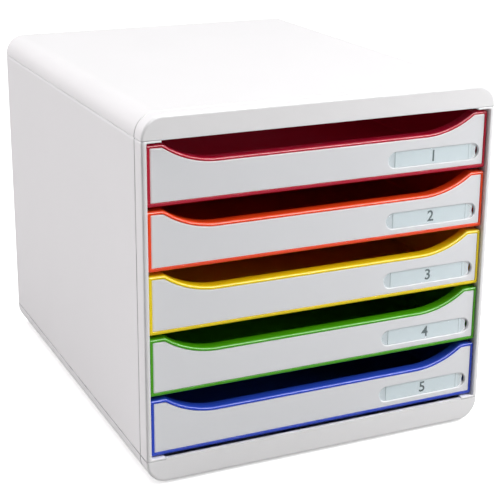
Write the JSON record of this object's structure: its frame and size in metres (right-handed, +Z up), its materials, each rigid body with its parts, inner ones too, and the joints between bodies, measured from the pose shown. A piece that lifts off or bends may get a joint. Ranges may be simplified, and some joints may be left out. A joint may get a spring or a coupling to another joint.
{
  "type": "desktop drawer tower",
  "caption": "Free-standing plastic desktop tower with a rounded casing, scooped slide-out drawers in coloured borders, and label windows.",
  "frame": {"origin": "middle of the footprint, on the surface that the feet stand on", "axes": "+X to the right seen from the front, +Y from the front face to the back, +Z up"},
  "size_m": [0.278, 0.347, 0.271],
  "materials": {
    "casing": "off-white polystyrene, fine satin moulding texture",
    "panel": "very light grey polystyrene, satin",
    "raspberry": "raspberry red, glossy",
    "orange": "orange, glossy",
    "yellow": "yellow, glossy",
    "green": "green, glossy",
    "blue": "blue, glossy",
    "slip": "pale blue-grey paper",
    "window": "clear, polished",
    "foot": "matt dark grey"
  },
  "bodies": {
    "casing": {"top_cover": "casing", "base_cover": "casing", "left_side": "casing", "right_side": "casing", "back_panel": "casing", "foot_front_left": "foot", "foot_front_right": "foot", "foot_back_left": "foot", "foot_back_right": "foot"},
    "drawer_1": {"drawer_1_tray": "raspberry", "drawer_1_front": "panel", "drawer_1_slip": "slip", "drawer_1_window": "window"},
    "drawer_2": {"drawer_2_tray": "orange", "drawer_2_front": "panel", "drawer_2_slip": "slip", "drawer_2_window": "window"},
    "drawer_3": {"drawer_3_tray": "yellow", "drawer_3_front": "panel", "drawer_3_slip": "slip", "drawer_3_window": "window"},
    "drawer_4": {"drawer_4_tray": "green", "drawer_4_front": "panel", "drawer_4_slip": "slip", "drawer_4_window": "window"},
    "drawer_5": {"drawer_5_tray": "blue", "drawer_5_front": "panel", "drawer_5_slip": "slip", "drawer_5_window": "window"}
  },
  "joints": [
    {"name": "drawer_1_slide", "type": "slide", "parent": "casing", "child": "drawer_1", "axis": [0, -1, 0], "range_m": [0, 0.28]},
    {"name": "drawer_2_slide", "type": "slide", "parent": "casing", "child": "drawer_2", "axis": [0, -1, 0], "range_m": [0, 0.28]},
    {"name": "drawer_3_slide", "type": "slide", "parent": "casing", "child": "drawer_3", "axis": [0, -1, 0], "range_m": [0, 0.28]},
    {"name": "drawer_4_slide", "type": "slide", "parent": "casing", "child": "drawer_4", "axis": [0, -1, 0], "range_m": [0, 0.28]},
    {"name": "drawer_5_slide", "type": "slide", "parent": "casing", "child": "drawer_5", "axis": [0, -1, 0], "range_m": [0, 0.28]}
  ]
}
